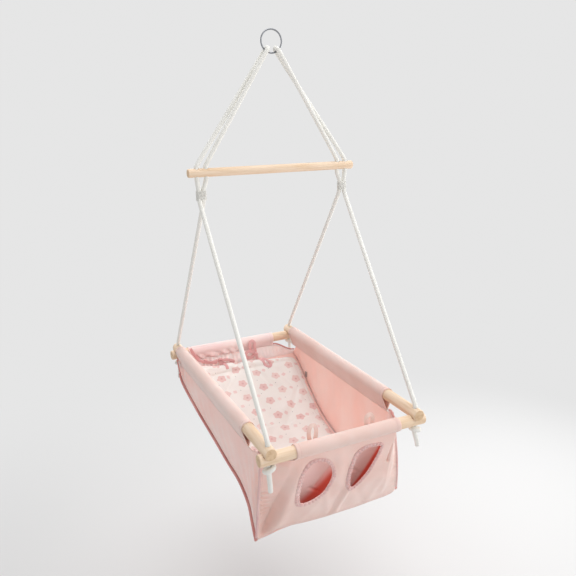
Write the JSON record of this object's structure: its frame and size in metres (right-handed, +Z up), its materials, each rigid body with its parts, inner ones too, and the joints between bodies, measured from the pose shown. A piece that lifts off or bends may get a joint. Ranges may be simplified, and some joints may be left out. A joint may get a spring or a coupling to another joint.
{
  "type": "hanging baby cradle",
  "caption": "Hanging baby cradle: a half-lapped timber frame carries a soft cloth tub with leg openings and a tied-in pad, slung by ropes from a spreader bar and one ring.",
  "frame": {"origin": "inside top of the hanging ring, where a hook bears", "axes": "+Z up along the line of hang, +X across the cradle to its right side, +Y from the foot end with the leg openings to the head end"},
  "size_m": [0.472, 0.758, 1.2099],
  "materials": {
    "ring_steel": "polished dark grey steel wire",
    "timber": "plain sanded pale softwood",
    "rope": "white braided cord",
    "pale_pink_cloth": "matt pale pink cotton",
    "salmon_cloth": "matt salmon pink cotton",
    "rose_trim": "matt rose bias tape and ribbon",
    "printed_cloth": "matt cream cotton with a rose print",
    "woven_tab": "plain grey woven tape"
  },
  "bodies": {
    "ring": {"hanging_ring": "ring_steel"},
    "rope_loops": {"left_rope_loop": "rope", "right_rope_loop": "rope"},
    "suspension": {"left_inner_upper_rope": "rope", "left_outer_upper_rope": "rope", "right_inner_upper_rope": "rope", "right_outer_upper_rope": "rope", "spreader_bar": "timber", "left_rope_binding": "rope", "right_rope_binding": "rope"},
    "cradle": {"front_end_bar": "timber", "back_end_bar": "timber", "left_side_bar": "timber", "right_side_bar": "timber", "front_left_lower_rope": "rope", "front_right_lower_rope": "rope", "back_left_lower_rope": "rope", "back_right_lower_rope": "rope", "front_left_rope_knot": "rope", "front_right_rope_knot": "rope", "back_left_rope_knot": "rope", "back_right_rope_knot": "rope", "front_panel": "pale_pink_cloth", "back_panel": "pale_pink_cloth", "front_end_sleeve": "pale_pink_cloth", "back_end_sleeve": "pale_pink_cloth", "left_side_sleeve": "pale_pink_cloth", "right_side_sleeve": "pale_pink_cloth", "left_leg_trim": "pale_pink_cloth", "right_leg_trim": "pale_pink_cloth", "left_foot_loop": "pale_pink_cloth", "right_foot_loop": "pale_pink_cloth", "tub_floor": "salmon_cloth", "left_side_panel": "salmon_cloth", "right_side_panel": "salmon_cloth", "left_floor_piping": "rose_trim", "right_floor_piping": "rose_trim", "left_corner_piping": "rose_trim", "right_corner_piping": "rose_trim", "front_left_rim_binding": "rose_trim", "front_right_rim_binding": "rose_trim", "back_left_rim_binding": "rose_trim", "back_right_rim_binding": "rose_trim", "middle_bow": "rose_trim", "side_bow": "rose_trim", "printed_pad": "printed_cloth", "side_tab": "woven_tab"}
  },
  "joints": [
    {"name": "side_sway", "type": "hinge", "parent": "ring", "child": "rope_loops", "pos_m": [0, 0, -0.026], "axis": [0, 1, 0], "range_deg": [-15, 15]},
    {"name": "swing", "type": "hinge", "parent": "rope_loops", "child": "suspension", "pos_m": [0, 0, -0.0489], "axis": [1, 0, 0], "range_deg": [-18, 18]},
    {"name": "rock", "type": "hinge", "parent": "suspension", "child": "cradle", "pos_m": [0, 0, -0.4163], "axis": [1, 0, 0], "range_deg": [-20, 20]}
  ]
}
